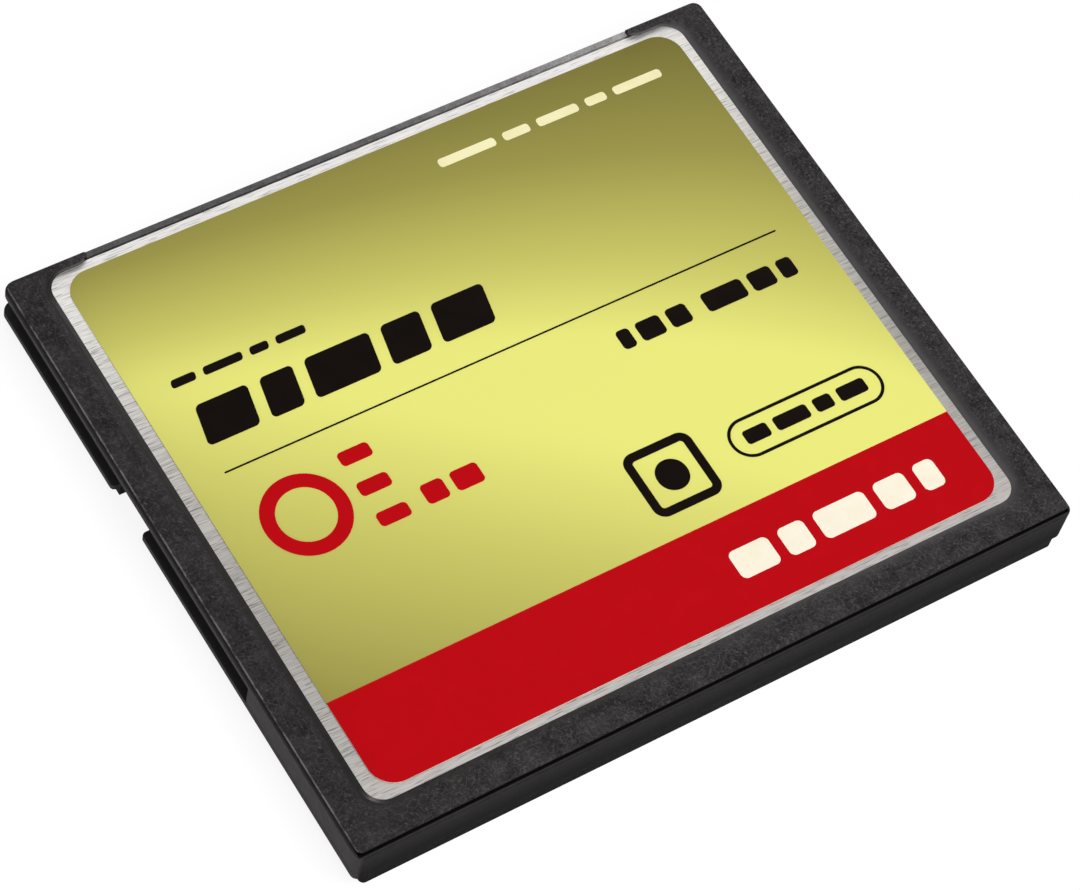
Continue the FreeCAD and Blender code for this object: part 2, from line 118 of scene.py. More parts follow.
def screenColor(red, green, blue):
    # a colour as a screen shows it, 0 to 255, made linear
    linear = [c / 12.92 if c <= 0.04045 else ((c + 0.055) / 1.055) ** 2.4
              for c in (red / 255, green / 255, blue / 255)]
    return (*linear, 1.0)


def startGroup(name, inputs, outputs):
    # shader node group with named sockets: inputs are (name, kind, default)
    group = bpy.data.node_groups.new(name, "ShaderNodeTree")
    for label, kind, default in inputs:
        socket = group.interface.new_socket(label, in_out="INPUT", socket_type="NodeSocket" + kind)
        if default is not None:
            socket.default_value = default
    for label, kind in outputs:
        group.interface.new_socket(label, in_out="OUTPUT", socket_type="NodeSocket" + kind)
    return group, group.nodes.new("NodeGroupInput").outputs, group.nodes.new("NodeGroupOutput").inputs


def placeGroup(tree, group, inputs):
    # the group placed in a material, with its own values
    return addNode(tree, "Group", inputs, node_tree=group).outputs


def startMaterial(name, specular=None, metallic=None):
    # material with one Principled shader: plain numbers go on its own sockets
    material = bpy.data.materials.new(name)
    material.use_nodes = True
    tree = material.node_tree
    shader = tree.nodes["Principled BSDF"]
    for key, value in (("Specular IOR Level", specular), ("Metallic", metallic)):
        if value is not None:
            shader.inputs[key].default_value = value
    return material, tree, shader, addNode(tree, "TexCoord").outputs["Object"]


def splitAxes(tree, place):
    # the X, Y and Z of a place
    return addNode(tree, "SeparateXYZ", {0: place}).outputs


def dress(tree, shader, color, roughness, height, distance):
    # colour, roughness and a height map on the shader; distance is the real height in metres
    tree.links.new(color, shader.inputs["Base Color"])
    tree.links.new(roughness, shader.inputs["Roughness"])
    bump = addNode(tree, "Bump", {"Height": height, "Distance": distance, "Strength": 1.0})
    tree.links.new(bump.outputs["Normal"], shader.inputs["Normal"])


# Shared surface effects

noiseSpan = (0.3, 0.7)  # most of a noise's values lie between these

grainPlan = {"detail": 3.0, "roughness": 0.65, "mottleShare": 0.15, "mottleDetail": 5.0,
             "mottleRoughness": 0.75, "loopShare": 0.45, "curlWidth": (0.035, 0.005), "bend": 0.0006,
             "turn": 0.9, "flakeStretch": (0.45, 1.0, 1.0), "flakeReach": (0.12, 0.34),
             "flakeChoice": (0.45, 1.0)}


def makeGrainGroup():
    # spark-eroded mould grain. Height is fine noise and mottle slow noise. Curls are thin lines where a
    # third noise crosses its middle. Flakes are bent, stretched cells: bright near the cell's middle, times
    # a number of the cell's own, so that few are chosen
    group, given, result = startGroup(
        "mouldGrain",
        [("Place", "Vector", None), ("Grain Size", "Float", 0.00012), ("Flake Spacing", "Float", 0.0004)],
        [("Height", "Float"), ("Flakes", "Float"), ("Mottle", "Float"), ("Curls", "Float")])
    place = given["Place"]
    fine = calc(group, "DIVIDE", 1.0, given["Grain Size"])
    slow = product(group, fine, grainPlan["mottleShare"])
    height = noise(group, place, fine, grainPlan["detail"], grainPlan["roughness"])[0]
    mottle = noise(group, place, slow, grainPlan["mottleDetail"], grainPlan["mottleRoughness"])[0]
    loops = noise(group, place, product(group, fine, grainPlan["loopShare"]), 1.0)[0]
    crossing = calc(group, "ABSOLUTE", calc(group, "SUBTRACT", loops, 0.5))

    bend = noise(group, place, slow, 1.0)["Color"]
    shift = addNode(group, "VectorMath", {0: bend, "Scale": grainPlan["bend"]}, operation="SCALE").outputs[0]
    bent = addNode(group, "VectorMath", {0: place, 1: shift}, operation="ADD").outputs[0]
    turned = addNode(group, "VectorRotate", {"Vector": bent, "Angle": grainPlan["turn"]},
                     rotation_type="Z_AXIS").outputs[0]
    cells = addNode(group, "TexVoronoi", {"Vector": stretch(group, turned, grainPlan["flakeStretch"]),
                                          "Scale": calc(group, "DIVIDE", 1.0, given["Flake Spacing"]),
                                          "Randomness": 1.0}).outputs
    near = remap(group, cells["Distance"], *grainPlan["flakeReach"], 1.0, 0.0)
    number = addNode(group, "SeparateColor", {0: cells["Color"]}).outputs[0]
    chosen = remap(group, number, *grainPlan["flakeChoice"])

    group.links.new(height, result["Height"])
    group.links.new(mottle, result["Mottle"])
    group.links.new(remap(group, crossing, *grainPlan["curlWidth"]), result["Curls"])
    group.links.new(product(group, near, chosen), result["Flakes"])
    return group


brushPlan = {"roughness": 0.6, "bandStretch": (0.5, 0.45, 0.0), "bandDetail": 3.0, "bandRoughness": 0.7,
             "bandShare": 0.55, "lineShare": 0.45, "streakSpan": (0.41, 0.59),
             "scratchStretch": (1.3, 0.9, 0.0), "scratchSpan": (0.43, 0.34)}


def makeBrushGroup():
    # brushed lines along X: noise drawn out to the stroke length, mixed with wider bands of the same; a
    # third noise gives the few deep scratches where it is low
    group, given, result = startGroup(
        "brushLines",
        [("Place", "Vector", None), ("Stroke", "Float", 0.004), ("Pitch", "Float", 0.00008)],
        [("Height", "Float"), ("Streaks", "Float"), ("Scratches", "Float")])
    along = calc(group, "DIVIDE", 1.0, given["Stroke"])
    across = calc(group, "DIVIDE", 1.0, given["Pitch"])
    scale = addNode(group, "CombineXYZ", {"X": along, "Y": across, "Z": 0.0}).outputs[0]
    drawn = stretch(group, given["Place"], scale)
    lines = noise(group, drawn, 1.0, 2.0, brushPlan["roughness"])[0]
    bands = noise(group, stretch(group, drawn, brushPlan["bandStretch"]), 1.0, brushPlan["bandDetail"],
                  brushPlan["bandRoughness"])[0]
    both = calc(group, "MULTIPLY_ADD", bands, brushPlan["bandShare"],
                product(group, lines, brushPlan["lineShare"]))
    deep = noise(group, stretch(group, drawn, brushPlan["scratchStretch"]), 1.0, 1.0)[0]
    group.links.new(lines, result["Height"])
    group.links.new(remap(group, both, *brushPlan["streakSpan"]), result["Streaks"])
    group.links.new(remap(group, deep, *brushPlan["scratchSpan"]), result["Scratches"])
    return group


grainGroup = makeGrainGroup()
brushGroup = makeBrushGroup()
print("stage 2: shared effects built")


# Finishes of the shells; pairs of places are where an effect begins and where it is full, in metres

rimFinish = {
    # deep is painted shade on the ramp's left and in the seam, ramp is painted light on the ramp, foot is
    # painted shade at the lower border's foot, glint is a painted highlight
    "dark": screenColor(22, 19, 20), "light": screenColor(58, 55, 56), "deep": screenColor(20, 17, 18),
    "flake": screenColor(97, 94, 95), "ramp": screenColor(99, 96, 97), "foot": screenColor(10, 9, 10),
    "glint": screenColor(96, 94, 95), "specular": 0.08,
    "grainSize": 0.00015, "grainHeight": 0.00003, "flakeSpacing": 0.00017, "mottleShare": 0.6,
    "heightShare": 0.4, "rampSpread": 0.3, "faceSpread": 0.12, "rampFlakes": 0.2, "faceFlakes": 0.6,
    "curls": 0.34, "flakeRelief": 0.5,
    "leftShadeShare": 0.25, "leftRampShadeShare": 0.65, "rampLightShare": 0.40, "footShare": 0.9,
    "rampRough": (0.30, 0.40), "faceRough": (0.5, 0.68), "footRough": 0.3, "glintMottle": (0.40, 0.54),
    "faceHeight": (0.00312, 0.00326), "underside": (0.00008, 0.00002), "sides": (0.0204, 0.0206),
    "front": (-0.0158, -0.0165), "leftDark": (-0.012, -0.021), "leftRamp": (0.008, -0.017),
    "rampLightHeight": (0.00328, 0.00300), "rampLightRight": (-0.012, 0.019),
    "glintSides": (0.02119, 0.02121), "glintLow": (0.00316, 0.00318), "glintHigh": (0.00328, 0.00326),
    "seamHigh": (0.00318, 0.00316), "seamLow": (0.0028, 0.0029), "seamFront": (-0.0176, -0.0177),
    "footHeight": (0.0009, 0.0007)}


def makeRimPlastic():
    # grained charcoal face; the ramp down to the plate is smoother and glossier. Painted shade darkens the
    # rim towards the card's left side, the ramp more so, and painted light lightens the ramp towards its
    # right side;
    # a painted glint lies along the side edges where the mottle lets it; painted shade darkens the seam
    # under the front edge and the foot of the lower border
    plan = rimFinish
    material, tree, shader, place = startMaterial("rimPlastic", plan["specular"])
    grain = placeGroup(tree, grainGroup, {"Place": place, "Grain Size": plan["grainSize"],
                                          "Flake Spacing": plan["flakeSpacing"]})
    across, depth, height = splitAxes(tree, place)
    aside = calc(tree, "ABSOLUTE", across)

    # the grained face: above the ramp, underneath, at the sides and at the front
    face = highest(tree, remap(tree, height, *plan["faceHeight"], smooth=True),
                   remap(tree, height, *plan["underside"], smooth=True),
                   remap(tree, aside, *plan["sides"]), remap(tree, depth, *plan["front"]))
    ramp = calc(tree, "SUBTRACT", 1.0, face)

    # tone from mottle and grain about their middle, then flakes and curls
    level = calc(tree, "MULTIPLY_ADD", grain["Mottle"], plan["mottleShare"],
                 product(tree, grain["Height"], plan["heightShare"]))
    spread = remap(tree, face, 0.0, 1.0, plan["rampSpread"], plan["faceSpread"])
    level = calc(tree, "DIVIDE", calc(tree, "SUBTRACT", level, 0.5), spread)
    level = calc(tree, "MULTIPLY_ADD", level, 0.5, 0.5, clamp=True)
    tone = mixColor(tree, level, plan["dark"], plan["light"])
    flakeShare = remap(tree, face, 0.0, 1.0, plan["rampFlakes"], plan["faceFlakes"])
    flakes = product(tree, grain["Flakes"], flakeShare)
    curls = product(tree, grain["Curls"], product(tree, face, plan["curls"]))
    tone = mixColor(tree, highest(tree, flakes, curls), tone, plan["flake"])

    # painted shade on the left, on the ramp more so; painted light on the ramp towards the right
    tone = mixColor(tree, remap(tree, across, *plan["leftDark"], 0.0, plan["leftShadeShare"]), tone, plan["dark"])
    shaded = product(tree, ramp, remap(tree, across, *plan["leftRamp"], 0.0, plan["leftRampShadeShare"]))
    tone = mixColor(tree, shaded, tone, plan["deep"])
    # painted light: the ramp is painted lighter towards the card's right side
    paintedRampLight = product(tree, remap(tree, height, *plan["rampLightHeight"], smooth=True),
                    remap(tree, across, *plan["rampLightRight"], 0.0, plan["rampLightShare"]))
    tone = mixColor(tree, paintedRampLight, tone, plan["ramp"])

    # painted glint along the side edges; painted shade in the seam and at the foot
    band = product(tree, remap(tree, height, *plan["glintLow"]), remap(tree, height, *plan["glintHigh"]))
    glint = product(tree, remap(tree, aside, *plan["glintSides"]), band,
                    remap(tree, grain["Mottle"], *plan["glintMottle"]))
    tone = mixColor(tree, glint, tone, plan["glint"])
    # painted shade in the seam under the rim's front edge
    seamShade = product(tree, remap(tree, height, *plan["seamHigh"]), remap(tree, height, *plan["seamLow"]),
                   remap(tree, depth, *plan["seamFront"]))
    tone = mixColor(tree, seamShade, tone, plan["deep"])
    # painted shade at the foot of the lower border, below about 0.9 mm
    foot = remap(tree, height, *plan["footHeight"], 0.0, plan["footShare"])
    tone = mixColor(tree, foot, tone, plan["foot"])

    grained = calc(tree, "MULTIPLY_ADD", foot, plan["footRough"],
                   remap(tree, grain["Height"], *noiseSpan, *plan["faceRough"]))
    smoother = remap(tree, grain["Mottle"], *noiseSpan, *plan["rampRough"])
    roughness = addNode(tree, "Mix", {0: face, 2: smoother, 3: grained}).outputs[0]
    relief = calc(tree, "MULTIPLY_ADD", grain["Flakes"], plan["flakeRelief"], grain["Height"])
    relief = product(tree, relief, face)
    dress(tree, shader, tone, roughness, relief, plan["grainHeight"])
    return material


frameFinish = {
    # foot is painted shade on the front wall, deep is painted shade in the gap
    "dark": screenColor(49, 47, 48), "light": screenColor(59, 57, 58), "foot": screenColor(18, 16, 17),
    "deep": screenColor(20, 18, 19), "specular": 0.025, "grainSize": 0.00009, "grainHeight": 0.000004,
    "rough": (0.56, 0.7), "wallFront": (-0.01810, -0.01818), "wallHeight": (0.0030, 0.0012),
    "wallShare": (0.40, 1.0), "gapFront": (-0.01806, -0.01802), "gapBack": (-0.0176, -0.0177),
    "gapSides": (0.02130, 0.02124), "gapHeight": (0.0025, 0.0026)}


def makeFramePlastic():
    # smooth charcoal moulding with a faint grain; painted shade darkens its front wall, more towards the
    # foot, and painted shade darkens the gap behind the front wall's land
    plan = frameFinish
    material, tree, shader, place = startMaterial("framePlastic", plan["specular"])
    axes = splitAxes(tree, place)
    grain = placeGroup(tree, grainGroup, {"Place": place, "Grain Size": plan["grainSize"]})
    tone = mixColor(tree, remap(tree, grain["Mottle"], *noiseSpan), plan["dark"], plan["light"])
    # painted shade: the front wall is darkened, more towards its foot
    wallShade = product(tree, remap(tree, axes["Y"], *plan["wallFront"]),
                   remap(tree, axes["Z"], *plan["wallHeight"], *plan["wallShare"]))
    tone = mixColor(tree, wallShade, tone, plan["foot"])
    # painted shade in the gap behind the front wall's land
    gap = product(tree, remap(tree, axes["Y"], *plan["gapFront"]), remap(tree, axes["Y"], *plan["gapBack"]),
                  remap(tree, calc(tree, "ABSOLUTE", axes["X"]), *plan["gapSides"]),
                  remap(tree, axes["Z"], *plan["gapHeight"]))
    tone = mixColor(tree, gap, tone, plan["deep"])
    roughness = remap(tree, grain["Height"], *noiseSpan, *plan["rough"])
    dress(tree, shader, tone, roughness, grain["Height"], plan["grainHeight"])
    return material


steelFinish = {
    "toneAndReflection": [(-0.0175, screenColor(214, 207, 204)), (-0.0135, screenColor(198, 194, 190)),
              (-0.005, screenColor(186, 182, 177)), (0.005, screenColor(214, 210, 205)),
              (0.0145, screenColor(252, 249, 243)), (0.0178, screenColor(254, 251, 248))],
    "streakShade": 0.70, "scratchShade": 0.52, "calmRight": 0.15, "rightPlace": (-0.018, 0.018),
    "calmBack": 0.15, "backPlace": (0.010, 0.0178), "rough": (0.42, 0.30), "stroke": 0.0015,
    "pitch": 0.00006, "lineDepth": 0.0000015}


def makePlateSteel():
    # brushed sheet: its tone follows a colour ramp along the card's depth, a painted reflection that is
    # darkest a little in front of the middle and lightest at the back, times the shade of fine streaks and
    # of a few dark scratches, which are fainter towards the right side and the back edge, so that the steel
    # is painted lighter there
    plan = steelFinish
    material, tree, shader, place = startMaterial("plateSteel", metallic=1.0)
    axes = splitAxes(tree, place)
    brush = placeGroup(tree, brushGroup, {"Place": place, "Stroke": plan["stroke"], "Pitch": plan["pitch"]})
    # the colour ramp is the steel's tone with a painted reflection along the depth
    low, high = plan["toneAndReflection"][0][0], plan["toneAndReflection"][-1][0]
    stops = [((y - low) / (high - low), color) for y, color in plan["toneAndReflection"]]
    tone = colorStops(tree, remap(tree, axes["Y"], low, high), stops)
    shade = product(tree, remap(tree, brush["Streaks"], 0.0, 1.0, plan["streakShade"], 1.0),
                    remap(tree, brush["Scratches"], 0.0, 1.0, 1.0, plan["scratchShade"]))
    # painted reflection: fading the streaks lightens the steel towards the right and the back
    calmAndSheen = calc(tree, "ADD", remap(tree, axes["X"], *plan["rightPlace"], 0.0, plan["calmRight"]),
                remap(tree, axes["Y"], *plan["backPlace"], 0.0, plan["calmBack"]))
    shade = calc(tree, "MULTIPLY_ADD", calmAndSheen, calc(tree, "SUBTRACT", 1.0, shade), shade)
    tone = addNode(tree, "VectorMath", {0: tone, "Scale": shade}, operation="SCALE").outputs[0]
    roughness = remap(tree, brush["Streaks"], 0.0, 1.0, *plan["rough"])
    dress(tree, shader, tone, roughness, brush["Height"], plan["lineDepth"])
    return material


# The label: a gold field that fades away from a bright slanting band

labelFinish = {
    "gold": [(0.0, screenColor(125, 119, 59)), (0.32, screenColor(158, 152, 76)),
             (0.69, screenColor(204, 201, 104)), (1.0, screenColor(240, 240, 129))],
    "goldLevels": (116.0, 237.0), "farLevel": 265.0, "farX": -3617.0, "farY": -7620.0, "farCurve": -8520.0,
    "farTwist": 146300.0, "nearLevel": 243.2, "nearX": 2873.0, "nearY": 3806.0, "top": 233.3,
    "farBlend": 30.0, "topBlend": 8.0, "band": screenColor(188, 12, 22), "bandEdge": (-0.01016, -0.01020),
    "edgeLight": screenColor(246, 240, 214), "edgeLightHeight": (0.003006, 0.003000), "specular": 0.05,
    "toothScale": 900.0, "toothDetail": 4.0, "toothHeight": 0.000006, "rough": (0.42, 0.52)}


def makeLabelFilm():
    # brightness is the smooth minimum of three sheets: one falls away to the back, faster on the left, one
    # falls to the front left and one is level; a colour ramp turns it into the gold tones
    plan = labelFinish
    material, tree, shader, place = startMaterial("labelFilm", plan["specular"])
    x, y, z = splitAxes(tree, place)
    slope = calc(tree, "MULTIPLY_ADD", x, plan["farCurve"], plan["farX"])
    slope = calc(tree, "MULTIPLY_ADD", y, plan["farTwist"], slope)
    far = calc(tree, "MULTIPLY_ADD", x, slope, plan["farLevel"])
    far = calc(tree, "MULTIPLY_ADD", y, plan["farY"], far)
    near = calc(tree, "MULTIPLY_ADD", x, plan["nearX"], plan["nearLevel"])
    near = calc(tree, "MULTIPLY_ADD", y, plan["nearY"], near)
    level = calc(tree, "SMOOTH_MIN", far, near, plan["farBlend"])
    level = calc(tree, "SMOOTH_MIN", level, plan["top"], plan["topBlend"])
    tone = colorStops(tree, remap(tree, level, *plan["goldLevels"]), plan["gold"])
    tone = mixColor(tree, remap(tree, y, *plan["bandEdge"]), tone, plan["band"])
    # painted light: the film's thin side wall is painted pale, so that its edge shows as a light line and
    # not a dark one
    tone = mixColor(tree, remap(tree, z, *plan["edgeLightHeight"]), tone, plan["edgeLight"])
    tooth = noise(tree, place, plan["toothScale"], plan["toothDetail"])[0]
    dress(tree, shader, tone, remap(tree, tooth, *noiseSpan, *plan["rough"]), tooth, plan["toothHeight"])
    return material


inkFinish = {
    "inkRed": dict(color=screenColor(190, 8, 19), darker=screenColor(186, 7, 18), specular=0.03),
    "inkBlack": dict(color=screenColor(20, 12, 8), darker=screenColor(14, 9, 6), specular=0.03),
    "inkCream": dict(color=screenColor(255, 246, 226), darker=screenColor(250, 240, 216), specular=0.05),
    "inkPale": dict(color=screenColor(252, 246, 196), darker=screenColor(246, 238, 184), specular=0.05),
    "cloudScale": 700.0, "cloudDetail": 5.0, "cloudRoughness": 0.6, "cloudSpan": (0.35, 0.65),
    "toothScale": 14000.0, "toothHeight": 0.0000006, "rough": (0.40, 0.52)}


def makeInk(name):
    # printed ink: slow noise makes its tone faintly uneven, fine noise gives gloss and height a tooth
    plan, ink = inkFinish, inkFinish[name]
    material, tree, shader, place = startMaterial(name, ink["specular"])
    cloud = noise(tree, place, plan["cloudScale"], plan["cloudDetail"], plan["cloudRoughness"])[0]
    tooth = noise(tree, place, plan["toothScale"])[0]
    tone = mixColor(tree, remap(tree, cloud, *plan["cloudSpan"]), ink["darker"], ink["color"])
    dress(tree, shader, tone, remap(tree, tooth, *noiseSpan, *plan["rough"]), tooth, plan["toothHeight"])
    return material


# Finishes of the socket and of what is inside

socketFinish = {
    # the left tones and the right tones are the two ends of a painted light gradient
    "leftDark": screenColor(42, 42, 43), "leftLight": screenColor(80, 80, 81),
    "rightDark": screenColor(122, 119, 119), "rightLight": screenColor(180, 177, 177),
    "flake": screenColor(150, 150, 150), "flakeShare": 0.25, "specular": 0.45, "grainSize": 0.00008,
    "flakeSpacing": 0.00025, "ends": (-0.016, 0.016), "paintedLightCurve": 3.0, "mottleShare": 0.5,
    "heightShare": 0.5, "unevenSpan": (0.40, 0.60), "rough": (0.42, 0.6), "grainHeight": 0.000005}


def makeSocketPlastic():
    # glass-filled grey moulding with grain; painted light makes it lighter towards its right end, by a power
    # of the way along
    plan = socketFinish
    material, tree, shader, place = startMaterial("socketPlastic", plan["specular"])
    grain = placeGroup(tree, grainGroup, {"Place": place, "Grain Size": plan["grainSize"],
                                          "Flake Spacing": plan["flakeSpacing"]})
    # painted light: from the left end's darker tones to the right end's lighter ones
    along = remap(tree, splitAxes(tree, place)["X"], *plan["ends"])
    along = calc(tree, "POWER", along, plan["paintedLightCurve"])
    uneven = calc(tree, "MULTIPLY_ADD", grain["Mottle"], plan["mottleShare"],
                  product(tree, grain["Height"], plan["heightShare"]))
    uneven = remap(tree, uneven, *plan["unevenSpan"])
    tone = mixColor(tree, along, mixColor(tree, uneven, plan["leftDark"], plan["leftLight"]),
                    mixColor(tree, uneven, plan["rightDark"], plan["rightLight"]))
    tone = mixColor(tree, product(tree, grain["Flakes"], plan["flakeShare"]), tone, plan["flake"])
    roughness = remap(tree, grain["Height"], *noiseSpan, *plan["rough"])
    dress(tree, shader, tone, roughness, grain["Height"], plan["grainHeight"])
    return material


metalFinish = {
    "contact_metal": dict(name="contactMetal", bright=screenColor(236, 204, 128),
                          dull=screenColor(196, 160, 88), rough=(0.34, 0.24)),
    "lead_metal": dict(name="leadMetal", bright=screenColor(214, 214, 212), dull=screenColor(176, 176, 174),
                       rough=(0.44, 0.34)),
    "crystal_can": dict(name="crystalCan", bright=screenColor(220, 217, 208),
                        dull=screenColor(186, 183, 174), rough=(0.40, 0.30)),
    "stroke": 0.0012, "pitch": 0.00004, "lineDepth": 0.0000012}


def makeMetal(slot):
    # drawn or plated metal: faint drawing lines along X in tone, gloss and height
    plan, metal = metalFinish, metalFinish[slot]
    material, tree, shader, place = startMaterial(metal["name"], metallic=1.0)
    brush = placeGroup(tree, brushGroup, {"Place": place, "Stroke": plan["stroke"], "Pitch": plan["pitch"]})
    tone = mixColor(tree, brush["Streaks"], metal["dull"], metal["bright"])
    roughness = remap(tree, brush["Streaks"], 0.0, 1.0, *metal["rough"])
    dress(tree, shader, tone, roughness, brush["Height"], plan["lineDepth"])
    return material


mouldedFinish = {
    "chip_resin": dict(name="chipResin", dark=screenColor(30, 30, 31), light=screenColor(40, 40, 41),
                       grainSize=0.00007, rough=(0.5, 0.68), grainHeight=0.000006, specular=0.4),
    "capacitor_ceramic": dict(name="capacitorCeramic", dark=screenColor(150, 120, 86),
                              light=screenColor(182, 150, 110), grainSize=0.00006, rough=(0.4, 0.55),
                              grainHeight=0.000003, specular=0.4),
    "resistor_body": dict(name="resistorBody", dark=screenColor(28, 28, 31), light=screenColor(44, 44, 48),
                          grainSize=0.00006, rough=(0.25, 0.4), grainHeight=0.000002, specular=0.5),
    "film_plastic": dict(name="filmPlastic", dark=screenColor(196, 150, 62), light=screenColor(216, 172, 84),
                         grainSize=0.0003, rough=(0.25, 0.38), grainHeight=0.000004, specular=0.5)}


def makeMoulded(slot):
    # moulded, fired or coated body: mottled tone and grain of one size
    plan = mouldedFinish[slot]
    material, tree, shader, place = startMaterial(plan["name"], plan["specular"])
    grain = placeGroup(tree, grainGroup, {"Place": place, "Grain Size": plan["grainSize"]})
    tone = mixColor(tree, remap(tree, grain["Mottle"], *noiseSpan), plan["dark"], plan["light"])
    roughness = remap(tree, grain["Height"], *noiseSpan, *plan["rough"])
    dress(tree, shader, tone, roughness, grain["Height"], plan["grainHeight"])
    return material


boardFinish = {
    "mask": screenColor(22, 84, 50), "track": screenColor(34, 112, 66), "specular": 0.5, "pitch": 0.0006,
    "trackEdge": (0.45, 0.55), "bendScale": 160.0, "bend": 0.008, "weaveScale": 5000.0, "weaveShare": 0.3,
    "rough": (0.28, 0.4), "trackHeight": 0.00001}


def makeBoardLaminate():
    # solder resist over tracks: a zigzag of X, bent by slow noise, is cut at its middle into tracks, which
    # are a shade lighter and a little higher; a fine weave is added
    plan = boardFinish
    material, tree, shader, place = startMaterial("boardLaminate", plan["specular"])
    bend = noise(tree, place, plan["bendScale"], 1.0)[0]
    route = calc(tree, "MULTIPLY_ADD", bend, plan["bend"], splitAxes(tree, place)["X"])
    wave = calc(tree, "DIVIDE", calc(tree, "PINGPONG", route, plan["pitch"]), plan["pitch"])
    track = remap(tree, wave, *plan["trackEdge"])
    weave = noise(tree, place, plan["weaveScale"])[0]
    relief = calc(tree, "ADD", track, product(tree, weave, plan["weaveShare"]))
    dress(tree, shader, mixColor(tree, track, plan["mask"], plan["track"]),
          remap(tree, weave, *noiseSpan, *plan["rough"]), relief, plan["trackHeight"])
    return material


slotMaterials = {"rim_plastic": makeRimPlastic(), "frame_plastic": makeFramePlastic(),
                 "plate_steel": makePlateSteel(), "label_film": makeLabelFilm(),
                 "socket_plastic": makeSocketPlastic(), "board_laminate": makeBoardLaminate()}
for slot in ("contact_metal", "lead_metal", "crystal_can"):
    slotMaterials[slot] = makeMetal(slot)
for slot in mouldedFinish:
    slotMaterials[slot] = makeMoulded(slot)

for subpart in frame["record"]["subparts"]:
    mesh = nodes[subpart["node"]].data
    mesh.materials.clear()
    mesh.materials.append(slotMaterials[subpart["material_slot"]])
print("stage 3: finishes on", len(nodes), "nodes")


# Print on the label: plain shapes, each a thin layer of ink that lies on the film

def roundedOutline(x0, x1, y0, y1, radius, slant=0.0, steps=12):
    # four quarter circles joined by straight sides, then sheared by slant along X: the first is the lower
    # right corner, from a quarter turn before the X axis, and the others follow counterclockwise
    turn = np.linspace(0.0, math.pi / 2, steps + 1)
    centres = [(x1 - radius, y0 + radius), (x1 - radius, y1 - radius),
               (x0 + radius, y1 - radius), (x0 + radius, y0 + radius)]
    points = []
    for k, (cx, cy) in enumerate(centres):
        angle = turn + (k - 1) * math.pi / 2
        points.append(np.stack([cx + radius * np.cos(angle), cy + radius * np.sin(angle)], axis=1))
    outline = np.concatenate(points)
    outline[:, 0] += slant * (outline[:, 1] - (y0 + y1) / 2)
    return outline


def solidInk(outline, low, high):
    # outline raised from low to high: side walls between two copies, each copy closed by one face
    n = len(outline)
    verts = np.concatenate([np.column_stack([outline, np.full(n, z)]) for z in (low, high)])
    k = np.arange(n)
    after = (k + 1) % n
    walls = np.column_stack([k, after, after + n, k + n]).tolist()
    return verts, walls + [k[::-1].tolist(), (k + n).tolist()]


def ringInk(outer, inner, low, high):
    # closed band between two outlines: a square profile carried round, outside up, across, inside down
    n = len(outer)
    profile = [(outer, low), (outer, high), (inner, high), (inner, low)]
    verts = np.concatenate([np.column_stack([line, np.full(n, z)]) for line, z in profile])
    k = np.arange(n)
    after = (k + 1) % n
    faces = []
    for row in range(len(profile)):
        here, there = row * n, (row + 1) % len(profile) * n
        faces += np.column_stack([here + k, here + after, there + after, there + k]).tolist()
    return verts, faces


labelLow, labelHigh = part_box("front_label")
filmTop = labelHigh.z / mm
inkPlan = {"thickness": 0.012, "bandThickness": 0.006, "leastRadius": 0.02}
inkTop = filmTop + inkPlan["thickness"]


def blockShape(x0, x1, y0, y1, radius, slant=0.0, stroke=0):
    # one printed block: a stroke of 0 is a solid block, and any other is the width of an open one's line
    outer = roundedOutline(x0, x1, y0, y1, radius, slant)
    if stroke == 0:
        return solidInk(outer, filmTop, inkTop)
    within = max(radius - stroke, inkPlan["leastRadius"])
    inner = roundedOutline(x0 + stroke, x1 - stroke, y0 + stroke, y1 - stroke, within, slant)
    return ringInk(outer, inner, filmTop, inkTop)


def rowShapes(x0, x1, y0, y1, widths, gap, radius, slant=0.0):
    # blocks side by side from x0 to x1, as wide as their shares of what the gaps leave
    sizes = np.array(widths) / sum(widths) * ((x1 - x0) - gap * (len(widths) - 1))
    starts = x0 + np.concatenate([[0.0], np.cumsum(sizes + gap)[:-1]])
    return [blockShape(start, start + size, y0, y1, radius, slant) for start, size in zip(starts, sizes)]


def makePrint(name, shapes, material):
    # joins shapes given in millimetres into one piece
    verts, faces, offset = [], [], 0
    for shapeVerts, shapeFaces in shapes:
        verts.append(shapeVerts * mm)
        faces += [[index + offset for index in face] for face in shapeFaces]
        offset += len(shapeVerts)
    mesh = bpy.data.meshes.new(name)
    mesh.from_pydata(np.concatenate(verts).tolist(), [], faces)
    mesh.update()
    mesh.materials.append(material)
    piece = bpy.data.objects.new(name, mesh)
    bpy.context.scene.collection.objects.link(piece)
    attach(piece, "root")


inkRed, inkBlack = makeInk("inkRed"), makeInk("inkBlack")
inkCream, inkPale = makeInk("inkCream"), makeInk("inkPale")

# the band fills the label's front end: an outline that is too deep is pressed flat at the band's edge
bandPlan = {"edge": -10.15, "cornerRadius": 1.4}
band = roundedOutline(labelLow.x / mm, labelHigh.x / mm, labelLow.y / mm,
                      bandPlan["edge"] + bandPlan["cornerRadius"], bandPlan["cornerRadius"])
band[:, 1] = np.minimum(band[:, 1], bandPlan["edge"])
makePrint("print_band", [solidInk(band, filmTop, filmTop + inkPlan["bandThickness"])], inkRed)

